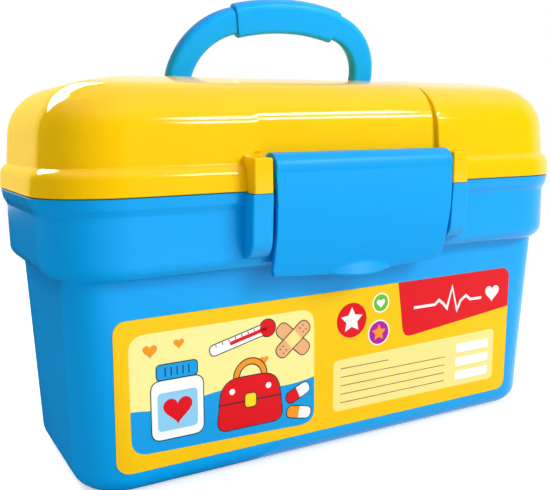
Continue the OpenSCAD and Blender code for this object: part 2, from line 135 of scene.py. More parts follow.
# The handle and its well
PIVOT = (17.3, 160.4)
LEAN = 25.5
ARM_MIDDLE = 50.9
ARM = (12.2, 6.8)
ARM_CORNER = 2.6
ARM_STRAIGHT = 6
BEND = 30.4
BEND_END = 78
GRIP_CURVE = 96
GRIP_RISE = 31.3
GRIP = (15.4, 8.6)
GRIP_CORNER = 3.2
GRIP_SPAN = 15
FOOT = 5.5
WELL_HALF = 57.3
WELL = (-18, 25)
WELL_FLOOR = 154.2
WELL_CORNER = 2
WELL_ROUND = 1.2
WELL_EDGE = 0.9
BOSS = (4.6, 6.4)

# The rear hinges. A web's place is where it meets the wall, in depth and height.
HINGE = (67.3, 119.05)
HINGE_X = 75
KNUCKLE = 4.5
KNUCKLE_GAP = 0.4
LID_KNUCKLE = 14
LID_WEB = (60.4, 125.8)
TUB_KNUCKLE = 8
TUB_WEB = (57.3, 103.8)

# The label
LABEL_X = (-105.4, 98)
LABEL_Z = (9.6, 71.6)
LABEL_RISE = 1.4
LABEL_CORNER = 5
LABEL_THICK = 0.3
INK_THICK = 0.012
INK_LINE = 0.45

# The studio, in metres
WHITE = (1, 1, 1, 1)
STUDIO_MIDDLE = (0, 0, 0.12)
AMBIENT = 0.45
SCREEN_FADE = 1.2
SCREEN_TOP = 3.6
SKY = 1.0


def turn(angle, radius=1.0):
    """A point on a circle about the origin, the angle in degrees."""
    return Vector((math.cos(math.radians(angle)), math.sin(math.radians(angle)))) * radius


def arc(centre, radius, start, end, steps):
    """Points along an arc, both ends included."""
    return [Vector(centre) + turn(start + (end - start) * i / steps, radius) for i in range(steps + 1)]


def line(start, end, steps):
    """Points along a straight line, both ends included."""
    return [Vector(start).lerp(Vector(end), i / steps) for i in range(steps + 1)]


def curve(start, pull, end, steps):
    """Points along a bend that a third point pulls outwards."""
    start, pull, end = Vector(start), Vector(pull), Vector(end)
    return [start.lerp(pull, i / steps).lerp(pull.lerp(end, i / steps), i / steps) for i in range(steps + 1)]


def weld(bm):
    bmesh.ops.remove_doubles(bm, verts=bm.verts, dist=JOIN)
    bmesh.ops.dissolve_degenerate(bm, dist=JOIN, edges=bm.edges)
    bmesh.ops.recalc_face_normals(bm, faces=bm.faces)


def loft(rings):
    """A skin through rings of points, each with as many points as the next. Points that meet are joined."""
    bm = bmesh.new()
    across, along = len(rings[0]) - 1, len(rings) - 1
    bmesh.ops.create_grid(bm, x_segments=across, y_segments=along, size=0.5)
    for vert in bm.verts:
        i = round((vert.co.x + 0.5) * across)
        j = round((vert.co.y + 0.5) * along)
        vert.co = rings[j][i]
    weld(bm)
    return bm


def drawn_out(outline, way):
    """A solid between an outline in space and the same outline moved along a vector."""
    bm = bmesh.new()
    foot = bm.faces.new([bm.verts.new(p) for p in outline])
    added = bmesh.ops.extrude_face_region(bm, geom=[foot])["geom"]
    bmesh.ops.translate(bm, verts=[v for v in added if isinstance(v, bmesh.types.BMVert)], vec=way)
    bmesh.ops.recalc_face_normals(bm, faces=bm.faces)
    return bm


def side_prism(outline, start, end):
    """A solid drawn out along X, whose outline is in depth (Y) and height (Z)."""
    return drawn_out([(start, p.x, p.y) for p in outline], (end - start, 0, 0))


def both_ends(edge, test):
    """Whether the places of an edge's two ends pass a test."""
    return all(test(vert.co) for vert in edge.verts)


def round_edges(bm, radius, chosen=None, segments=3, least=25):
    """Rounds the sharp edges, or those of them that chosen(edge) picks."""
    sharp = [e for e in bm.edges if len(e.link_faces) == 2
             and math.degrees(e.calc_face_angle(0)) > least and (chosen is None or chosen(e))]
    bmesh.ops.bevel(bm, geom=sharp, offset=radius, offset_type="OFFSET", segments=segments,
                    profile=0.5, affect="EDGES", clamp_overlap=True, material=-1)
    bmesh.ops.recalc_face_normals(bm, faces=bm.faces)


def close_ends(bm):
    """Fills the open ends of a skin, and gives the new faces."""
    ends = bmesh.ops.holes_fill(bm, edges=[e for e in bm.edges if e.is_boundary], sides=0)["faces"]
    bmesh.ops.recalc_face_normals(bm, faces=bm.faces)
    return ends


def cross_bar(front, back, low, high, half_length):
    """A plain bar along X, across the middle of the case."""
    outline = [Vector(p) for p in ((front, low), (back, low), (back, high), (front, high))]
    return side_prism(outline, -half_length, half_length)


def mirrored(bm):
    """A copy on the other side of the case."""
    other = bm.copy()
    bmesh.ops.scale(other, vec=(-1, 1, 1), verts=other.verts)
    bmesh.ops.reverse_faces(other, faces=other.faces)
    return other


def merged(*parts):
    """The parts' faces together in one mesh."""
    bm = bmesh.new()
    for part in parts:
        mesh = bpy.data.meshes.new("part")
        part.to_mesh(mesh)
        bm.from_mesh(mesh)
        bpy.data.meshes.remove(mesh)
    return bm


def new_object(name, data):
    made = bpy.data.objects.new(name, data)
    bpy.context.scene.collection.objects.link(made)
    return made


def as_object(name, bm):
    mesh = bpy.data.meshes.new(name)
    bm.to_mesh(mesh)
    bm.free()
    return new_object(name, mesh)


def carved(bm, steps):
    """A mesh after steps of ("UNION" or "DIFFERENCE", mesh), one after the other."""
    body = as_object("body", bm)
    for how, tool in steps:
        other = as_object("tool", tool)
        cut = body.modifiers.new("cut", "BOOLEAN")
        cut.operation = how
        cut.solver = "MANIFOLD"
        cut.object = other
        shape = bpy.data.meshes.new_from_object(body.evaluated_get(bpy.context.evaluated_depsgraph_get()))
        body.modifiers.clear()
        body.data = shape
        bpy.data.objects.remove(other)
    result = bmesh.new()
    result.from_mesh(body.data)
    bpy.data.objects.remove(body)
    return result


def finish(name, bm, made_of, body, slot, *replaced, crease=32):
    """Makes a mesh in millimetres into a piece of the case."""
    bmesh.ops.scale(bm, vec=(MM, MM, MM), verts=bm.verts)
    piece = as_object(name, bm)
    piece.data.shade_smooth()
    piece.data.set_sharp_from_angle(angle=math.radians(crease))
    normals = piece.modifiers.new("normals", "WEIGHTED_NORMAL")
    normals.keep_sharp = True
    piece.data.materials.clear()
    piece.data.materials.append(made_of)
    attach(piece, body)
    if replaced:
        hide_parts(*replaced)
    return piece


# Materials

def linear(code):
    """An sRGB hex colour as linear RGBA."""
    shares = [int(code[i:i + 2], 16) / 255 for i in (1, 3, 5)]
    return (*[s / 12.92 if s <= 0.04045 else ((s + 0.055) / 1.055) ** 2.4 for s in shares], 1)


def add(tree, kind, settings=None, **inputs):
    """Adds a shader node. An input is a value, or what to link: an output, or a node for its first one."""
    made = tree.nodes.new("ShaderNode" + kind)
    for key, value in (settings or {}).items():
        setattr(made, key, value)
    for key, value in inputs.items():
        socket = made.inputs[int(key[1:])] if key[0] == "_" else made.inputs[key.replace("_", " ")]
        if isinstance(value, bpy.types.Node):
            value = value.outputs[0]
        if isinstance(value, bpy.types.NodeSocket):
            tree.links.new(value, socket)
        else:
            socket.default_value = value
    return made


def maths(tree, operation, first, second):
    return add(tree, "Math", {"operation": operation}, _0=first, _1=second)


def noise(tree, place, size, detail):
    """A noise whose grains have a size in millimetres."""
    return add(tree, "TexNoise", Vector=place, Scale=1 / (size * MM), Detail=detail)


def material(name):
    """A new material, its node tree and the place on the object."""
    made = bpy.data.materials.new(name)
    made.use_nodes = True
    tree = made.node_tree
    tree.nodes.clear()
    return made, tree, add(tree, "TexCoord").outputs["Object"]


def output(tree, shader):
    add(tree, "OutputMaterial", Surface=shader)


def moulded_plastic(name, code, deep, roughness, shine):
    """Injection-moulded polypropylene: even colour with a slight cloudiness from the melt,
    a smooth gloss with a faint waviness, and fine mould texture that softens reflections."""
    made, tree, place = material(name)
    cloud = noise(tree, place, 45, 3.0)
    tint = add(tree, "Mix", {"data_type": "RGBA"}, Factor=cloud, _6=linear(deep), _7=linear(code))
    grain = noise(tree, place, 0.9, 2.0)
    wave = noise(tree, place, 22, 1.0)
    rough = add(tree, "MapRange", Value=cloud, To_Min=roughness - 0.03, To_Max=roughness + 0.04)
    swell = add(tree, "Bump", Strength=0.02, Distance=0.5 * MM, Height=wave)
    skin = add(tree, "Bump", Strength=0.05, Distance=0.02 * MM, Height=grain, Normal=swell)
    shader = add(tree, "BsdfPrincipled", Base_Color=tint.outputs["Result"], Roughness=rough, IOR=1.49,
                 Specular_IOR_Level=shine, Normal=skin)
    output(tree, shader)
    return made


def laminated_print(name, code):
    """Printed film under a clear gloss laminate: flat ink with a fine halftone grain,
    and slight ripples where the film follows the wall."""
    made, tree, place = material(name)
    ink = noise(tree, place, 0.7, 1.0)
    tone = add(tree, "MapRange", Value=ink, To_Min=0.97, To_Max=1.03)
    base = add(tree, "RGB")
    base.outputs[0].default_value = linear(code)
    shade = add(tree, "VectorMath", {"operation": "SCALE"}, _0=base, Scale=tone)
    ripple = noise(tree, place, 16, 1.0)
    wavy = add(tree, "Bump", Strength=0.05, Distance=0.3 * MM, Height=ripple)
    shader = add(tree, "BsdfPrincipled", Base_Color=shade, Roughness=0.3, IOR=1.5, Specular_IOR_Level=0.2,
                 Normal=wavy)
    output(tree, shader)
    return made


def drawn_wire(name):
    """Bright drawn steel wire: pale grey metal with fine lines along its length."""
    made, tree, place = material(name)
    along = add(tree, "Mapping", Vector=place, Scale=(1 / (12 * MM), 1 / (0.25 * MM), 1 / (0.25 * MM)))
    streak = add(tree, "TexNoise", Vector=along, Scale=1.0, Detail=3.0)
    rough = add(tree, "MapRange", Value=streak, To_Min=0.2, To_Max=0.4)
    lines = add(tree, "Bump", Strength=0.15, Distance=0.02 * MM, Height=streak)
    tone = add(tree, "Mix", {"data_type": "RGBA"}, Factor=streak, _6=linear("#b4b7bb"), _7=linear("#d3d5d8"))
    shader = add(tree, "BsdfPrincipled", Base_Color=tone.outputs["Result"], Metallic=1.0, Roughness=rough,
                 Normal=lines)
    output(tree, shader)
    return made


TUB_PLASTIC = moulded_plastic("tub_polypropylene", "#02a6f2", "#00a2f0", 0.15, 0.22)
LID_PLASTIC = moulded_plastic("lid_polypropylene", "#fecb06", "#fdc802", 0.09, 0.38)
LATCH_PLASTIC = moulded_plastic("latch_polypropylene", "#02a4f0", "#00a0ee", 0.36, 0.16)
HANDLE_PLASTIC = moulded_plastic("handle_polypropylene", "#04a0f2", "#009cf0", 0.36, 0.18)
STEEL_WIRE = drawn_wire("drawn_steel_wire")
LABEL_YELLOW = laminated_print("label_film_yellow", "#fdc902")
INKS = {"pale_yellow": "#fff09a", "blue": "#0a9ee6", "ink": "#14202c", "white": "#fbfbfb",
        "pale_blue": "#8fd0f2", "red": "#e00316", "orange": "#f59a1d", "yellow": "#ffdc14", "tan": "#f0b27c",
        "cream": "#ffe88e", "purple": "#b3129a", "green": "#6cbf2c", "grey": "#8d7f52"}


# Rings of points round the case

LONG_SIDE = (-0.98, -0.755, -0.5663, -0.553, -0.25, 0, 0.25, 0.553, 0.5663, 0.755, 0.98)
SHORT_SIDE = (-0.94, -0.5, 0, 0.5, 0.94)
CORNER_STEPS = 14


def plan_ring(half_x, half_y, radius, z):
    """A rectangle with round corners, seen from above, as a closed ring of points at one height."""
    ring = []
    for quarter in range(4):
        long_side = quarter % 2 == 0
        side = (half_x if long_side else half_y) - radius
        depth = half_y if long_side else half_x
        points = [Vector((side * share, -depth)) for share in (LONG_SIDE if long_side else SHORT_SIDE)]
        points += arc((side, radius - depth), radius, -90, 0, CORNER_STEPS)
        spin = Matrix.Rotation(quarter * math.pi / 2, 2)
        ring += [Vector((*(spin @ p), z)) for p in points]
    return ring + [ring[0]]


def core_ring(out, z):
    return plan_ring(CORE_X + out, CORE_Y + out, out, z)


# The tub

def body_size(z):
    """Half the tub's length, half its depth and its corner radius, at a height between base and band."""
    share = (z - BASE_ROUND) / (BAND_BOTTOM - BASE_ROUND)
    return (BASE_HALF[0] + BODY_GROWTH[0] * share, BASE_HALF[1] + BODY_GROWTH[1] * share,
            BASE_CORNER - CORNER_LOSS * share)


def body_ring(z, inset=0.0):
    """The wall's outline at a height. Inside, the corners are rounder near the top, to clear the band's
    floor."""
    half_x, half_y, radius = body_size(z)
    rounder = INNER_CORNER_GAIN * (z - BASE_ROUND) / (BAND_BOTTOM - BASE_ROUND) if inset else 0
    return plan_ring(half_x - inset, half_y - inset, max(radius - inset + rounder, 1), z)


def body_foot(inset):
    """Rings of the tub's round lower edge, from the floor up, at a distance inside the outer skin."""
    rings = []
    half_x, half_y, radius = body_size(BASE_ROUND)
    for p in arc((0, BASE_ROUND), BASE_ROUND - inset, -90, 0, 8):
        out = p.x - BASE_ROUND
        rings.append(plan_ring(half_x + out, half_y + out, max(radius + out, 1), p.y))
    return rings


def spine(z):
    """The line in the middle of a floor where its rings close."""
    return plan_ring(BASE_HALF[0] - BASE_HALF[1], 0, 0, z)


def tub_rings():
    """The tub's skin, from the middle of its underside up the outside and down the inside."""
    centre = (BAND_FACE - BAND_ROUND, BAND_BOTTOM + BAND_ROUND)
    face_top = BAND_FACE + BAND_DRAFT
    rings = [spine(0), *body_foot(0)]
    rings += [body_ring(z) for z in (20, 35, 50, 65, 78, 85.4, 86.3)]
    half_x, half_y, radius = body_size(BAND_BOTTOM)
    rings += [plan_ring(half_x + p.x, half_y + p.x, radius + p.x, p.y)
              for p in arc((BAND_FILLET, BAND_BOTTOM - 0.9), BAND_FILLET, 160, 100, 3)]
    rings += [core_ring(p.x, p.y) for p in arc(centre, BAND_ROUND, -58, 0, 9)]
    outline = line((BAND_FACE, centre[1] + 0.6), (face_top, FLANGE - 0.5), 4)
    inner = face_top - WALL
    outer = inner + SEAT_WALL
    seat = ((outer + 0.3, TUB_TOP), (outer, 119.1), (outer, SEAT_TOP - 0.7), (outer - 0.35, SEAT_TOP - 0.15),
            (outer - 0.6, SEAT_TOP), (inner + 0.5, SEAT_TOP), (inner + 0.15, SEAT_TOP - 0.15),
            (inner, SEAT_TOP - 0.6), (inner, 119), (inner, FLANGE), (BAND_FACE - WALL, centre[1]))
    outline += [Vector(p) for p in (*FLANGE_SECTION, *seat)]
    outline += arc(centre, BAND_ROUND - WALL, 0, -90, 6)[1:]
    rings += [core_ring(p.x, p.y) for p in outline]
    shelf = BAND_BOTTOM + WALL
    rings += [body_ring(shelf, 1.9), body_ring(shelf - 0.6, 2.15)]
    rings += [body_ring(z, WALL) for z in (86, 70, 50, 30, 15)]
    rings += [*reversed(body_foot(WALL)), spine(WALL)]
    return rings


def post():
    """Stands on the tub's front under one of the lid's ears, and fades into the band at its foot."""
    outline = [Vector(p) for p in ((POST_BACK, TUB_TOP), (POST_SHELF, TUB_TOP), (POST_SHELF, POST_TOP),
                                   (POST_FRONT, POST_TOP))]
    outline += arc((POST_FOOT[0] + POST_FOOT_ROUND, POST_FOOT[1]), POST_FOOT_ROUND, 180, 270, 8)
    outline.append(Vector((POST_BACK, POST_FOOT[1] - POST_FOOT_ROUND)))
    bm = side_prism(outline, EAR[0], POST_SIDE)
    round_edges(bm, POST_SIDE_ROUND, lambda e: both_ends(e, lambda p: p.x > POST_SIDE - NEAR)
                and not both_ends(e, lambda p: p.z > POST_TOP - NEAR)
                and not both_ends(e, lambda p: p.y > POST_BACK - NEAR), segments=5, least=5)
    round_edges(bm, 0.45, lambda e: both_ends(e, lambda p: p.x < EAR[0] + NEAR)
                and not both_ends(e, lambda p: p.y > POST_BACK - NEAR), least=5)
    return bm


def knuckle(middle, length, way):
    """A hinge knuckle with its web, above the seam (way 1) or below it (way -1)."""
    wall, web_end = LID_WEB if way > 0 else TUB_WEB
    flat = SEAM + 0.5 if way > 0 else TUB_TOP - 0.3
    outline = [Vector((wall, flat)), Vector((HINGE[0] - KNUCKLE + 0.02, flat)),
               *arc(HINGE, KNUCKLE, 180, 180 + way * 270, 24), Vector((wall, web_end))]
    bm = side_prism(outline, middle - length / 2, middle + length / 2)
    round_edges(bm, 0.4, lambda e: abs(e.verts[0].co.x - e.verts[1].co.x) < NEAR, segments=2, least=60)
    return bm


def tub():
    bm = loft(tub_rings())
    for vert in bm.verts:
        if vert.co.z > TUB_TOP and vert.co.y < -CORE_Y and abs(vert.co.x) < SEAT_STOP:
            vert.co.z = TUB_TOP
    weld(bm)
    catch = cross_bar(*CATCH_BAR)
    round_edges(catch, 0.4, lambda e: both_ends(e, lambda p: p.y < CATCH_BAR[0] + NEAR))
    steps = [("UNION", post()), ("UNION", mirrored(post())), ("UNION", catch)]
    for hinge in (-HINGE_X, HINGE_X):
        for side in (-1, 1):
            middle = hinge + side * (LID_KNUCKLE / 2 + KNUCKLE_GAP + TUB_KNUCKLE / 2)
            steps.append(("UNION", knuckle(middle, TUB_KNUCKLE, -1)))
    return finish("tub", carved(bm, steps), TUB_PLASTIC, "tub", "tub_plastic", "tub_shell")


# The lid

def lid_arcs(middle):
    """The lid's top in section, over its recessed middle or its ends: the shoulder's radius and centre, the
    crown's height and radius. Places are in distance out from the core and height."""
    shoulder = MIDDLE_SHOULDER if middle else SHOULDER
    centre = Vector(LID_WALL[1]) - turn(LID_DRAFT, shoulder)
    top = CROWN_TOP
    if middle:
        centre += Vector((-MIDDLE_DEPTH, MIDDLE_LIFT))
        top -= MIDDLE_TOP_DEPTH
    span = CORE_Y + centre.x
    rise = top - centre.y - shoulder
    crown = (span ** 2 + (rise + shoulder) ** 2 - shoulder ** 2) / (2 * rise)
    return shoulder, centre, top, crown


def rim_section(foot, thin):
    """The bulged rim, from the seam up to the foot of the lid's wall."""
    seam = SEAM - 1 if thin else SEAM
    radius = RIM_ROUND - thin
    inner = (RIM_EDGE[0] - RIM_ROUND, RIM_EDGE[1])
    cut = min(foot.x - inner[0] + 0.35, radius - NEAR)
    last = math.degrees(math.acos(cut / radius)) if cut > 0 else 90
    outline = [Vector((RIM - 0.3 - thin, seam)), Vector((RIM - 0.02 - thin, seam + 0.3))]
    outline += line((RIM_EDGE[0] + 0.1 - thin, RIM_EDGE[1] - 1.5), (RIM_EDGE[0] - thin, RIM_EDGE[1]), 1)
    outline += arc(inner, radius, 0, last, 9)[1:]
    corner = Vector((foot.x, outline[-1].y + 0.5))
    outline += [outline[-1].lerp(corner, 0.6) - Vector((0, 0.1)), corner, corner + Vector((0, 0.4)), foot]
    return outline


def ledge_section(foot, thin):
    """Behind the latch the rim is only a ledge. It has as many points as the rim."""
    seam = SEAM - 1 if thin else SEAM
    face = foot.x if thin else RIM - 0.05
    ease = 0 if thin else 0.4
    outline = [Vector((face - 0.625 * ease, seam)), Vector((face, seam + 0.3))]
    outline += line((face, LEDGE_TOP - 0.3), (face - 0.5 * ease, LEDGE_TOP), 6)
    outline += line((face - ease, LEDGE_TOP), (foot.x + ease, LEDGE_TOP), 6)
    outline += line((foot.x, LEDGE_TOP + 0.4), foot, 3)
    return outline


def lid_profile(kind, thin=0.0):
    """Half of the lid's section, as (distance out from the core, height), from the seam up to the middle.
    kind is main, or middle_front and middle_back for the recessed middle section. thin is how far inside the
    outer skin it lies."""
    middle = kind != "main"
    shoulder, centre, top, crown = lid_arcs(middle)
    angle = math.degrees(math.atan2(centre.y - top + crown, CORE_Y + centre.x))
    foot = Vector(LID_WALL[0]) - Vector((thin + (MIDDLE_DEPTH if middle else 0), 0))
    outline = ledge_section(foot, thin) if kind == "middle_front" else rim_section(foot, thin)
    outline += [foot.copy()] * (RIM_POINTS - len(outline))
    outline += line(foot, centre + turn(LID_DRAFT, shoulder - thin), 4)[1:-1]
    outline += arc(centre, shoulder - thin, LID_DRAFT, angle, 20)
    outline += arc((-CORE_Y, top - crown), crown - thin, angle, 90, 9)[1:]
    return outline


def section(x, front, back):
    """The lid's whole section at one place along its length, from the front's seam over to the back's."""
    return ([Vector((x, -CORE_Y - p.x, p.y)) for p in front]
            + [Vector((x, CORE_Y + p.x, p.y)) for p in reversed(back[:-1])])


def end_path(out, z, side):
    """A line round one end of the lid, from the front to the back, at a distance out from the core."""
    start = CORE_X - CORE_Y
    reach = CORE_X + out
    half_y = CORE_Y + out
    radius = min(half_y, (out + math.hypot(out, EASE)) / 2 if out < EASE_START else out)
    points = [Vector((start + (reach - radius - start) * share, -half_y)) for share in (0, 0.12, 0.5, 0.9)]
    points += arc((reach - radius, radius - half_y), radius, -90, 0, CORNER_STEPS)
    points += [Vector((reach, (half_y - radius) * share)) for share in (-0.92, -0.4)]
    points += [Vector((p.x, -p.y)) for p in reversed(points)]
    return [Vector((side * p.x, p.y, z)) for p in points]


def lid_skin(thin=0.0):
    """The lid's closed outer or inner form, down to a flat foot."""
    main = lid_profile("main", thin)
    front, back = lid_profile("middle_front", thin), lid_profile("middle_back", thin)
    step = MIDDLE_HALF + thin
    # Places along one half of the lid, from its end inwards, and how far each one is down the recess's step
    half = [(CORE_X - CORE_Y, 0), (60, 0), (50, 0), (48, 0), (step + STEP_ROUND, 0),
            (step + 0.3 * STEP_ROUND, 0.08), (step + 0.08 * STEP_ROUND, 0.25), (step, 0.5),
            (step - 0.03, 0.85), (step - 0.1, 0.96), (step - 0.35, 1), (step - 3, 1), (25, 1), (8, 1)]
    rings = []
    for x, share in [(-x, share) for x, share in half] + half[::-1]:
        notch = min(max((LEDGE_END - abs(x)) / 2, 0), 1)
        shares = [notch if i < RIM_POINTS else share for i in range(len(main))]
        mixed_front = [a.lerp(b, part) for a, b, part in zip(main, front, shares)]
        mixed_back = [a.lerp(b, share) for a, b in zip(main, back)]
        rings.append(section(x, mixed_front, mixed_back))
    rounded = [loft([end_path(p.x, p.y, side) for p in main]) for side in (-1, 1)]
    bm = merged(loft(rings), *rounded)
    bmesh.ops.remove_doubles(bm, verts=bm.verts, dist=NEAR)
    close_ends(bm)
    return bm


def crown_height(x, y):
    """Height of the lid's top over a place near its middle."""
    top, crown = lid_arcs(abs(x) < MIDDLE_HALF)[2:]
    return top - crown + math.sqrt(crown ** 2 - y ** 2)


def well_ring(margin, height):
    """The well's outline grown by a margin, at one height or at height(x, y)."""
    middle = (WELL[1] + WELL[0]) / 2
    half_y = (WELL[1] - WELL[0]) / 2
    ring = plan_ring(WELL_HALF + margin, half_y + margin, WELL_CORNER + margin, 0)
    places = [(p.x, p.y + middle) for p in ring]
    return [Vector((x, y, height(x, y) if callable(height) else height)) for x, y in places]


def well_spine(margin, z):
    """The line in the middle of the well's floor or mouth where its rings close."""
    middle = (WELL[1] + WELL[0]) / 2
    return [Vector((p.x * 0.2, middle, z)) for p in well_ring(margin, z)]


def well_cut():
    """What the well takes away: straight sides with a rounded top edge and a small round at the floor."""
    mouth = CROWN_TOP + 6
    rings = [well_spine(-1, WELL_FLOOR)]
    rings += [well_ring(p.x - WELL_ROUND, p.y)
              for p in arc((0, WELL_FLOOR + WELL_ROUND), WELL_ROUND, -90, 0, 4)]
    for angle in (0, 20, 40, 58, 72):
        edge = turn(angle, WELL_EDGE)
        rings.append(well_ring(WELL_EDGE - edge.x, lambda x, y: crown_height(x, y) - WELL_EDGE + edge.y))
    rings.append(well_ring(WELL_EDGE * 0.72 + 2, lambda x, y: crown_height(x, y) + 0.8))
    rings += [well_ring(3, mouth), well_spine(-1, mouth)]
    return loft(rings)


def well_box():
    """The well's outer walls and floor, which the lid's hollow leaves standing."""
    low, high = WELL_FLOOR - WALL, CROWN_TOP + 4
    return loft([well_spine(0, low), well_ring(WALL, low), well_ring(WALL, high), well_spine(0, high)])


def ear():
    """Stands out of the lid's front beside the latch, and holds its rod. Its top slopes down to the front."""
    outline = [Vector(p) for p in ((EAR_BACK, SEAM + 0.02), (EAR_STEP, SEAM + 0.02), (EAR_STEP, EAR_LOW),
                                   (EAR_FRONT, EAR_LOW), (EAR_FRONT, EAR_TOP[0]))]
    outline += curve((EAR_FRONT + 6.2, EAR_TOP[0] + 0.3), (EAR_FRONT + 9.2, EAR_TOP[0] + 0.6),
                     (EAR_BACK, EAR_TOP[1]), 5)
    bm = side_prism(outline, *EAR)

    def hidden(edge):
        """Against the lid's wall, at the seam or across the curved top."""
        level = abs(edge.verts[0].co.y - edge.verts[1].co.y) < NEAR
        return (both_ends(edge, lambda p: p.y > EAR_BACK - NEAR)
                or both_ends(edge, lambda p: p.z < SEAM + 0.1)
                or level and both_ends(edge, lambda p: p.z > EAR_TOP[0] + 0.1))

    round_edges(bm, EAR_ROUND, lambda e: not hidden(e), least=20)
    return bm


def boss():
    """Behind the well's side wall, it holds a pin that the handle turns on."""
    return side_prism(arc(PIVOT, BOSS[0], 0, 360, 40)[:-1], WELL_HALF + 0.4, WELL_HALF + BOSS[1])


def lid():
    hollow = carved(lid_skin(WALL), [("DIFFERENCE", well_box())])
    steps = [("DIFFERENCE", hollow), ("UNION", ear()), ("UNION", mirrored(ear())), ("UNION", boss()),
             ("UNION", mirrored(boss())), ("DIFFERENCE", well_cut())]
    steps += [("UNION", knuckle(side * HINGE_X, LID_KNUCKLE, 1)) for side in (-1, 1)]
    return finish("lid", carved(lid_skin(), steps), LID_PLASTIC, "lid", "lid_plastic", "lid_shell")


# The latch

def latch_low(x):
    """Height of the latch's lower edge."""
    half = LATCH_HALF - LATCH_TAPER
    drop = LIP_DROP * max(1 - (x / LIP_HALF) ** 2, 0) ** 1.5
    return LATCH_LOW - LATCH_BOW * (1 - (x / half) ** 2) - drop


def latch_face(z, depth=0.0):
    """How far in front of the middle the latch's curved face is, or a place at a depth behind it."""
    return LATCH_CENTRE[0] - math.sqrt((LATCH_CURVE - depth) ** 2 - (z - LATCH_CENTRE[1]) ** 2)


def lip_out(x, z):
    """How far the thumb lip stands out of the latch's face."""
    if abs(x) >= LIP_HALF:
        return 0
    low = LATCH_LOW - LATCH_BOW - LIP_DROP
    arch = (low + LIP_RISE) - (LIP_RISE - LIP_DROP) * (x / LIP_HALF) ** 2
    return max(0, LIP_FLARE * (arch - z) / LIP_RISE)


def latch_side(share, z):
    """The place along X of a share of the latch's half length: its sides taper and its lower corners are
    round."""
    corner = max(LATCH_CORNER - (z - LATCH_LOW + 0.4), 0)
    nip = LATCH_CORNER - math.sqrt(max(LATCH_CORNER ** 2 - corner ** 2, 0))
    taper = LATCH_TAPER * max(0, LATCH_AXIS[1] - z) / (LATCH_AXIS[1] - LATCH_LOW)
    return LATCH_PLAY + share * (LATCH_HALF - taper - nip)


def latch_section(share):
    """The latch's closed section at one place along its length: from its lower edge up the front, round the
    barrel, down the back and round the lower edge."""
    low_x = latch_side(share, LATCH_LOW)
    low = latch_low(low_x) + LATCH_EDGE
    heights = [low + (LATCH_FINE - low) * i / 24 for i in range(25)]
    heights += [LATCH_FINE + (LATCH_FACE_TOP - LATCH_FINE) * i / 10 for i in range(1, 11)]
    points = [Vector((latch_side(share, z), latch_face(z) - lip_out(low_x, z), z)) for z in heights]
    barrel = arc(LATCH_AXIS, BARREL, 196, -125, 30)
    face_top = Vector((latch_face(LATCH_FACE_TOP), LATCH_FACE_TOP))
    points.append(Vector((latch_side(share, 126), *(face_top.lerp(barrel[0], 0.62) + Vector((0.12, 0))))))
    points += [Vector((latch_side(share, 130), *p)) for p in barrel]
    back = [LATCH_BACK_TOP + (LATCH_FINE - LATCH_BACK_TOP) * i / 8 for i in range(9)] + heights[23::-1]
    points += [Vector((latch_side(share, z), latch_face(z, LATCH_THICK) - lip_out(low_x, z), z))
               for z in back]
    middle = (points[0] + points[-1]) / 2
    half_thick = (points[-1].y - points[0].y) / 2
    for angle in (-45, -90, -135):
        swing = turn(angle)
        points.append(Vector((middle.x, middle.y + swing.x * half_thick, low + swing.y * LATCH_EDGE)))
    return points + [points[0]]


def latch():
    bm = loft([latch_section(i / 60) for i in range(-60, 61)])
    caps = close_ends(bm)
    for inset, out in ((0.14, 0.3), (0.3, 0.12)):
        for cap in caps:
            bmesh.ops.inset_region(bm, faces=[cap], thickness=inset, depth=out, use_even_offset=True)
    rib = cross_bar(*SNAP_RIB)
    round_edges(rib, 0.4, lambda e: both_ends(e, lambda p: p.y > SNAP_RIB[1] - NEAR))
    return finish("latch", carved(bm, [("UNION", rib)]), LATCH_PLASTIC, "latch", "latch_plastic",
                  "latch_flap", crease=40)


# The handle

def bar_ring(centre, across, size, radius, inset=0.0):
    """A rounded bar's section about a point of the handle's own plane; its width runs along across."""
    width, thick = size[0] / 2 - inset, size[1] / 2 - inset
    corner = max(radius - inset, 0.2)
    ring = []
    for quarter, (sx, sy) in enumerate(((1, 1), (-1, 1), (-1, -1), (1, -1))):
        middle = Vector((sx * (width - corner), sy * (thick - corner)))
        ring += arc(middle, corner, 90 * quarter, 90 * quarter + 90, 7)
    side = Vector((across[0], 0, across[1]))
    points = [Vector((centre[0], 0, centre[1])) + side * p.x + Vector((0, p.y, 0)) for p in ring]
    return points + [points[0]]


def stand(bm):
    """Places the handle's own drawing on its pivot, leaning as it stands."""
    place = Matrix.Translation((0, *PIVOT)) @ Matrix.Rotation(math.radians(LEAN), 4, "X")
    bmesh.ops.transform(bm, matrix=place, verts=bm.verts)
    return bm


def on_grip(angle):
    """A place on the grip's curve, an angle away from its top, and the direction across it."""
    across = turn(90 - angle)
    return Vector((0, GRIP_RISE - GRIP_CURVE)) + across * (GRIP_CURVE + GRIP[0] / 2), across


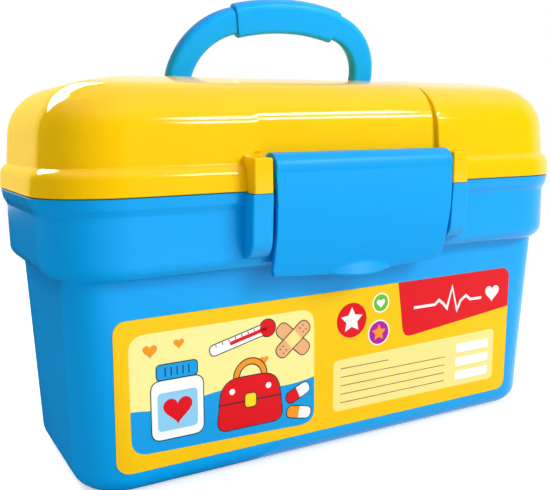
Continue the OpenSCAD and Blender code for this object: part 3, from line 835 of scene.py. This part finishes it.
def handle_bail():
    """An arm, a bend and a part inside the grip that follows the grip's curve, and the same mirrored."""
    half = [(p, turn(0)) for p in line((ARM_MIDDLE, -1.5), (ARM_MIDDLE, ARM_STRAIGHT), 4)[:-1]]
    centre = Vector((ARM_MIDDLE - BEND, ARM_STRAIGHT))
    for i in range(22):
        across = turn(BEND_END * i / 21)
        half.append((centre + across * BEND, across))
    half += [on_grip(angle) for angle in (12, 9, 6, 3, 1)]
    rings = [bar_ring(p, a, ARM, ARM_CORNER) for p, a in half]
    rings += [bar_ring((-p[0], p[1]), (-a[0], a[1]), ARM, ARM_CORNER) for p, a in reversed(half)]
    bm = loft(rings)
    close_ends(bm)
    steps = []
    for side in (-1, 1):
        foot = bmesh.new()
        bmesh.ops.create_cone(foot, cap_ends=True, segments=40, radius1=FOOT, radius2=FOOT, depth=ARM[0])
        round_edges(foot, 0.7, lambda e: abs(e.verts[0].co.z - e.verts[1].co.z) < NEAR, least=60)
        place = Matrix.Translation((side * ARM_MIDDLE, 0, 0)) @ Matrix.Rotation(math.pi / 2, 4, "Y")
        bmesh.ops.transform(foot, matrix=place, verts=foot.verts)
        steps.append(("UNION", foot))
    return finish("handle_arms", stand(carved(bm, steps)), HANDLE_PLASTIC, "handle", "handle_plastic",
                  "handle_bail")


def handle_grip():
    """A sleeve with stepped, slightly rounded ends. Its stations are an angle and how far the skin is in."""
    end = [(-GRIP_SPAN, 0.9), (-GRIP_SPAN, 0.35), (-GRIP_SPAN + 0.12, 0.1)]
    full = GRIP_SPAN - 0.4
    stations = end + [(full * (i / 12 - 1), 0) for i in range(25)]
    stations += [(-angle, inset) for angle, inset in reversed(end)]
    bm = loft([bar_ring(*on_grip(angle), GRIP, GRIP_CORNER, inset) for angle, inset in stations])
    close_ends(bm)
    return finish("grip", stand(bm), HANDLE_PLASTIC, "handle", "handle_plastic", "handle_grip")


# The label

def on_wall(x, z, out):
    """A point on the tub's front wall and the start of its corners, or in front of it."""
    half_x, half_y, radius = body_size(z)
    beyond = max(abs(x) - half_x + radius, 0)
    return Vector((x, radius - half_y - math.sqrt(radius ** 2 - beyond ** 2) - out, z))


def label_top(x):
    return LABEL_Z[1] + LABEL_RISE * (x - LABEL_X[0]) / (LABEL_X[1] - LABEL_X[0])


def label_outline(z_share, x_share):
    """A place on the label, whose corners are round, from shares of its height and its length."""
    height = LABEL_Z[1] - LABEL_Z[0]
    gap = min(z_share, 1 - z_share) * height
    nip = LABEL_CORNER - math.sqrt(LABEL_CORNER ** 2 - max(LABEL_CORNER - gap, 0) ** 2)
    x = LABEL_X[0] + nip + (LABEL_X[1] - LABEL_X[0] - 2 * nip) * x_share
    return x, LABEL_Z[0] + (label_top(x) - LABEL_Z[0]) * z_share


def label():
    near_edge = [0, 0.0015, 0.005, 0.011, 0.02, 0.035, 0.055, 0.08]
    shares = near_edge + [0.08 + 0.84 * i / 10 for i in range(1, 10)] + [1 - s for s in reversed(near_edge)]
    across = [0.1 * i / 16 for i in range(16)] + [0.1 + 0.9 * i / 30 for i in range(31)]
    front, back = [], []
    for s in shares:
        front.append([on_wall(*label_outline(s, x), LABEL_THICK) for x in across])
        back.append([on_wall(*label_outline(s, x), 0.01) for x in across])
    bm = merged(loft(front), loft(back))
    rims = [e for e in bm.edges if e.is_boundary]
    bmesh.ops.bridge_loops(bm, edges=rims)
    bmesh.ops.recalc_face_normals(bm, faces=bm.faces)
    return finish("label", bm, LABEL_YELLOW, "tub", "label_film", "front_label", crease=50)


# The label's print: thin layers of ink on the film, drawn in millimetres on the wall

def soft(points, *radii):
    """A polygon whose corners are rounded; a single radius serves for all corners."""
    outline = []
    for i, p in enumerate(points):
        p, before, after = Vector(p), Vector(points[i - 1]), Vector(points[(i + 1) % len(points)])
        radius = radii[i % len(radii)]
        if radius == 0:
            outline.append(p)
            continue
        start, end = p + (before - p).normalized() * radius, p + (after - p).normalized() * radius
        outline += [start.lerp(p, t).lerp(p.lerp(end, t), t) for t in (0, 0.15, 0.32, 0.5, 0.68, 0.85, 1)]
    return outline


def box(left, low, right, high, radius):
    return soft([(left, low), (right, low), (right, high), (left, high)], radius)


def disc(x, z, radius, steps=28):
    return arc((x, z), radius, 0, 360, steps)[:-1]


def heart(x, z, width):
    points = []
    for i in range(32):
        t = math.tau * i / 32
        points.append(Vector((16 * math.sin(t) ** 3, 13 * math.cos(t) - 5 * math.cos(2 * t)
                              - 2 * math.cos(3 * t) - math.cos(4 * t))) * width / 32 + Vector((x, z)))
    return points


def star(x, z, radius):
    return [Vector((x, z)) + turn(90 + 36 * i, radius * (1 if i % 2 == 0 else 0.5)) for i in range(10)]


def stroke(points, width):
    """The outline of an open line of some width."""
    left, right = [], []
    points = [Vector(p) for p in points]
    for i, p in enumerate(points):
        before = (p - points[max(i - 1, 0)]).normalized()
        after = (points[min(i + 1, len(points) - 1)] - p).normalized()
        along = (before + after).normalized()
        across = Vector((-along.y, along.x))
        stretch = 1 / max(across.dot(Vector((-after.y, after.x)) if after.length else across), 0.5)
        left.append(p + across * width / 2 * stretch)
        right.append(p - across * width / 2 * stretch)
    return left + right[::-1]


def turned(outline, centre, angle):
    spin = Matrix.Rotation(math.radians(angle), 2)
    return [spin @ p + Vector(centre) for p in outline]


def grown(outline, by):
    """The outline pushed outwards, for the dark line round a shape."""
    area = sum(p.cross(outline[(i + 1) % len(outline)]) for i, p in enumerate(outline))
    result = []
    for i, p in enumerate(outline):
        along = (outline[(i + 1) % len(outline)] - outline[i - 1]).normalized()
        result.append(p + Vector((along.y, -along.x)) * math.copysign(by, area))
    return result


def lined(colour, outline, layer):
    """A shape with a dark line round it."""
    return [("ink", grown(outline, INK_LINE), layer), (colour, outline, layer + 1)]


def medicine_jar():
    shapes = lined("white", box(-91, 21, -69, 45.5, 4), 2)
    shapes += lined("blue", box(-88.5, 46, -71.5, 52, 1.6), 2)
    shapes += [("pale_blue", box(-88.5, 24.5, -71.5, 40.5, 2), 4), ("red", heart(-80, 33, 12.5), 5)]
    shapes += [("ink", stroke([(x, 47.2), (x, 50.8)], 0.5), 4) for x in (-85, -82.5, -80, -77.5, -75)]
    return shapes


def doctor_bag():
    grip = arc((-47.5, 41), 6.5, 0, 180, 14)
    shapes = [("ink", stroke(grip, 3.2), 2), ("orange", stroke(grip, 2.2), 3)]
    shapes += lined("red", soft([(-63, 19), (-32, 19), (-34.5, 41), (-60.5, 41)], 5, 5, 8, 8), 4)
    shapes += [("ink", stroke([(-62.3, 30.4), (-32.7, 30.4)], 0.6), 6)]
    shapes += lined("yellow", box(-50, 27.6, -45, 33.4, 1.5), 7)
    shapes += [("white", disc(-56, 35.5, 1.3), 6), ("white", disc(-39, 35.5, 1.3), 6)]
    return shapes


def thermometer():
    place, angle = (-52, 57.5), 14
    stick = turned(box(-14, -2.2, 12, 2.2, 2.15), place, angle)
    bulb = turned(disc(13, 0, 3.6), place, angle)
    shapes = [("ink", grown(stick, INK_LINE), 2), ("ink", grown(bulb, INK_LINE), 2), ("white", stick, 3),
              ("red", bulb, 4), ("red", turned(box(-5, -0.8, 13, 0.8, 0.7), place, angle), 4)]
    shapes += [("ink", turned(stroke([(x, 0.9), (x, 2)], 0.4), place, angle), 4) for x in range(-11, 9, 3)]
    return shapes


def crossed_plasters():
    place, upper = (-27, 54), 40
    shapes = []
    for step, angle in enumerate((-42, upper)):
        shapes += lined("tan", turned(box(-9.5, -3, 9.5, 3, 2.9), place, angle), 2 + 3 * step)
    shapes.append(("cream", turned(box(-3, -2.9, 3, 2.9, 0.6), place, upper), 7))
    shapes += [("ink", turned(disc(x, z, 0.35, 8), place, upper), 7)
               for x in (-7.2, -5.4, 5.4, 7.2) for z in (-1.2, 1.2)]
    return shapes


def capsule(x, z, angle, colour):
    whole = turned(box(-6, -2.6, 6, 2.6, 2.55), (x, z), angle)
    half = turned(soft([(-6, -2.6), (0, -2.6), (0, 2.6), (-6, 2.6)], 2.55, 0, 0, 2.55), (x, z), angle)
    return lined("white", whole, 2) + [(colour, half, 4)]


def pulse_line(left, right, level, height):
    """A heartbeat as a thick line."""
    beat = ((0, 0), (0.3, 0), (0.36, 0.25), (0.42, 0), (0.48, -0.35), (0.55, 1), (0.63, -0.6), (0.68, 0),
            (0.76, 0.3), (0.83, 0), (1, 0))
    points = [(left + (right - left) * x, level + height * z) for x, z in beat]
    return stroke(points, 1.3)


def picture_panel():
    """A pale panel with a blue ground, and a doctor's things on it."""
    edge = [(-99.5, 16.6), (-16, 14)]
    wave = [(x, 35.5 + 1.6 * math.sin((x + 16) / 9)) for x in range(-16, -100, -3)]
    ground = soft([*edge, (-16.3, 35.5), *wave, (-99.6, 35)], 7, 7, *[0] * (len(wave) + 2))
    shapes = [("pale_yellow", soft([*edge, (-16.6, 66.2), (-99.7, 65.4)], 7), 0), ("blue", ground, 1)]
    shapes += medicine_jar() + doctor_bag() + thermometer() + crossed_plasters()
    shapes += capsule(-24.5, 29.5, 24, "red") + capsule(-24, 20.5, -12, "orange")
    return shapes + [("orange", heart(x, z, width), 1)
                     for x, z, width in ((-91, 58.5, 6), (-79, 60, 4.5), (-41, 47, 4))]


def red_corner():
    """The label's upper right corner, with a heartbeat and a heart."""
    right, top = LABEL_X[1], label_top(LABEL_X[1])
    round_end = arc((right - LABEL_CORNER, top - LABEL_CORNER), LABEL_CORNER, 0, 90, 8)
    lower_left = soft([(28.6, 73), (32.3, 45.8), (98, 53.1)], 0, 5, 0)[1:-1]
    corner = [Vector((right, 53.1)), *round_end, Vector((28.6, label_top(28.6))), *lower_left]
    return [("red", corner, 0), ("white", pulse_line(38, 80, 59.5, 7.5), 1), ("white", heart(87, 61.3, 9), 1)]


def badges():
    """Three round badges."""
    return [("red", disc(3.2, 58.2, 8), 0), ("white", star(3.2, 58.2, 6), 1),
            ("white", disc(19, 64.3, 4.6), 0), ("green", disc(19, 64.3, 4), 1),
            ("white", heart(19, 64.2, 4.6), 2), ("white", disc(18.2, 50.4, 6), 0),
            ("purple", disc(18.2, 50.4, 5.4), 1), ("orange", star(18.2, 50.4, 4), 2)]


def notes_box():
    """A cream box with blank strips and ruled lines."""
    shapes = [("cream", soft([(-6.2, 16.7), (89.6, 16.4), (89.5, 42.5), (-6.3, 40.6)], 2.6), 0)]
    shapes += [("white", box(65, z, 86, z + 4.4, 0.4), 1) for z in (19.4, 26.4, 33.4)]
    shapes += [("grey", box(-2.4, z, end, z + 0.45, 0.1), 1)
               for z, end in ((20.2, 58), (24.2, 58), (28.2, 58), (32.2, 58), (36.2, 24))]
    return shapes


def label_print():
    """All of the print, as one piece for each ink: film-thin shapes that stand on the label."""
    shapes = picture_panel() + red_corner() + badges() + notes_box()
    for colour in dict.fromkeys(colour for colour, outline, layer in shapes):
        parts = [drawn_out([on_wall(p.x, p.y, LABEL_THICK - INK_THICK) for p in outline],
                           (0, -INK_THICK * (2 + layer), 0))
                 for name, outline, layer in shapes if name == colour]
        finish("print_" + colour, merged(*parts), laminated_print("ink_" + colour, INKS[colour]), "tub",
               "label_film", crease=20)


tub()
lid()
latch()
handle = [handle_bail(), handle_grip()]
label()
label_print()

for node, made_of in (("handle_pin_left", HANDLE_PLASTIC), ("handle_pin_right", HANDLE_PLASTIC),
                      ("hinge_pin_left", STEEL_WIRE), ("hinge_pin_right", STEEL_WIRE),
                      ("latch_rod", STEEL_WIRE)):
    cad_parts[node].data.materials.clear()
    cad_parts[node].data.materials.append(made_of)


# The scene

def camera():
    """The photograph's viewpoint, worked out from the case's own outline."""
    azimuth, elevation, roll = math.radians(-28.409), math.radians(8.501), math.radians(-0.868)
    target = Vector((-8.487, 0, 86.981))
    distance = 370.373
    focal_pixels, picture_width = 756.394, 550
    back = Vector((math.sin(azimuth) * math.cos(elevation), -math.cos(azimuth) * math.cos(elevation),
                   math.sin(elevation)))
    right = (-back).cross(Vector((0, 0, 1))).normalized()
    up = right.cross(-back)
    tilted_right = right * math.cos(roll) + up * math.sin(roll)
    tilted_up = up * math.cos(roll) - right * math.sin(roll)
    data = bpy.data.cameras.new("camera")
    data.sensor_width = 36
    data.lens = focal_pixels / picture_width * data.sensor_width
    data.clip_start, data.clip_end = 0.01, 50
    seat = new_object("camera", data)
    facing = Matrix((tilted_right, tilted_up, back)).transposed().to_4x4()
    seat.matrix_world = Matrix.Translation((target + back * distance) * MM) @ facing
    bpy.context.scene.camera = seat


def place_from(centre, azimuth, elevation, distance):
    """A place seen from centre, in metres. The azimuth runs from the case's front towards its left."""
    azimuth, elevation = math.radians(azimuth), math.radians(elevation)
    level = math.cos(elevation)
    return Vector(centre) + distance * Vector((-math.sin(azimuth) * level, -math.cos(azimuth) * level,
                                               math.sin(elevation)))


def area_light(name, azimuth, elevation, distance, size, radiance, glossy=True):
    """A soft rectangular lamp that faces the case. Its radiance is what its reflection in gloss shows."""
    data = bpy.data.lights.new(name, "AREA")
    data.shape = "RECTANGLE"
    data.size, data.size_y = size
    data.energy = radiance * math.pi * size[0] * size[1]
    lamp = new_object(name, data)
    lamp.location = place_from(STUDIO_MIDDLE, azimuth, elevation, distance)
    lamp.rotation_mode = "QUATERNION"
    lamp.rotation_quaternion = (lamp.location - Vector(STUDIO_MIDDLE)).to_track_quat("Z", "Y")
    lamp.visible_glossy = glossy
    return lamp


def seen_directly(tree):
    """1 for what the camera sees, also in gloss or through glass, and 0 for light that falls on things."""
    ray = add(tree, "LightPath").outputs
    seen = maths(tree, "MAXIMUM", ray["Is Camera Ray"], ray["Is Glossy Ray"])
    return maths(tree, "MAXIMUM", seen, ray["Is Transmission Ray"])


def studio(handle):
    """Two windows, broad soft lamps and a white sky. The handle's front, which leans over the yellow lid,
    has a lamp of its own, and the lamp behind leaves the handle out."""
    area_light("window_upper", -34, 34.6, 1.25, (0.49, 0.07), 42)
    area_light("window_lower", -32.5, 26.4, 1.25, (0.52, 0.05), 36)
    area_light("broad_front", -26, 6, 1.6, (1.2, 0.9), 2.7, glossy=False)
    area_light("broad_left", 85, 35, 1.5, (0.9, 0.7), 0.4, glossy=False)
    behind = area_light("rear_left", 160, 38, 1.3, (1.0, 0.5), 12)
    area_light("overhead", 0, 80, 1.4, (1.0, 0.8), 0.8, glossy=False)
    fill = area_light("handle_front", -28, 4, 1.2, (0.5, 0.3), 12, glossy=False)
    fill.light_linking.receiver_collection = bpy.data.collections.new("handle")
    behind.light_linking.receiver_collection = bpy.data.collections.new("all_but_handle")
    for piece in handle:
        fill.light_linking.receiver_collection.objects.link(piece)
        behind.light_linking.receiver_collection.objects.link(piece)
    for link in behind.light_linking.receiver_collection.collection_objects:
        link.light_linking.link_state = "EXCLUDE"
    world = bpy.data.worlds.new("studio")
    bpy.context.scene.world = world
    world.use_nodes = True
    tree = world.node_tree
    tree.nodes.clear()
    dim = add(tree, "Background", Color=WHITE, Strength=AMBIENT)
    white = add(tree, "Background", Color=WHITE, Strength=1.0)
    mixed = add(tree, "MixShader", Fac=seen_directly(tree), _1=dim, _2=white)
    add(tree, "OutputWorld", Surface=mixed)


def screen(name, azimuths, outline, colour, radiance, fade=0):
    """Cloth that hangs or lies round part of the studio, which only the glossy plastic shows. Its outline is
    in distance from the case and height. It fades into the white sky at its top, and over its first
    degrees."""
    bm = bmesh.new()
    start, end = azimuths
    verts = [bm.verts.new(place_from((0, 0, z), start, 0, radius)) for radius, z in outline]
    edge = bm.edges.new(verts)
    bmesh.ops.spin(bm, geom=[*verts, edge], cent=(0, 0, 0), axis=(0, 0, -1), angle=math.radians(end - start),
                   steps=round((end - start) / 4), use_merge=False)
    cloth = as_object(name, bm)
    made, tree, place = material(name)
    parts = add(tree, "SeparateXYZ", Vector=place).outputs
    bright = add(tree, "MapRange", {"interpolation_type": "SMOOTHSTEP"}, Value=parts["Z"],
                 From_Min=SCREEN_FADE, From_Max=SCREEN_TOP, To_Min=radiance, To_Max=SKY)
    if fade:
        left = maths(tree, "MULTIPLY", parts["X"], -1.0)
        ahead = maths(tree, "MULTIPLY", parts["Y"], -1.0)
        angle = maths(tree, "ARCTAN2", left, ahead)
        side = add(tree, "MapRange", {"interpolation_type": "SMOOTHSTEP"}, Value=angle,
                   From_Min=math.radians(start), From_Max=math.radians(start + fade), To_Min=1.0, To_Max=0.0)
        bright = maths(tree, "MAXIMUM", bright, side)
    output(tree, add(tree, "Emission", Color=colour, Strength=bright))
    cloth.data.materials.append(made)
    for ray in ("camera", "diffuse", "transmission", "volume_scatter", "shadow"):
        setattr(cloth, "visible_" + ray, False)


def floor():
    """A pale floor. The camera sees it white, with the case's shadow, out to where it meets the white
    beyond."""
    bm = bmesh.new()
    bmesh.ops.create_grid(bm, x_segments=1, y_segments=1, size=12)
    ground = as_object("floor", bm)
    made, tree, place = material("pale_floor")
    away = add(tree, "VectorMath", {"operation": "LENGTH"}, _0=place)
    far = add(tree, "MapRange", {"interpolation_type": "SMOOTHSTEP"}, Value=away.outputs["Value"],
              From_Min=0.25, From_Max=0.9)
    card = add(tree, "BsdfDiffuse", Color=linear("#c8c8c8"))
    bright = add(tree, "BsdfDiffuse", Color=linear("#d8d8d8"))
    glow = add(tree, "Emission", Color=WHITE, Strength=0.55)
    near = add(tree, "AddShader", _0=bright, _1=glow)
    white = add(tree, "Emission", Color=WHITE, Strength=1.0)
    seen = add(tree, "MixShader", Fac=far, _1=near, _2=white)
    output(tree, add(tree, "MixShader", Fac=seen_directly(tree), _1=card, _2=seen))
    ground.data.materials.append(made)
    ground.location.z = -0.0002


camera()
studio(handle)
screen("dark_cloth", (-85, 147), [(2.6, -0.3), (2.6, 4.2)], WHITE, 0.04, fade=30)
screen("warm_cloth", (147, 192), [(2.6, -0.3), (2.6, 4.2)], (1, 0.78, 0.24, 1), 1.1)
screen("dark_mat", (-5, 179), [(0.06, -0.0001), (1.2, -0.0001)], WHITE, 0.02, fade=70)
floor()
bpy.context.scene.view_settings.view_transform = "Standard"
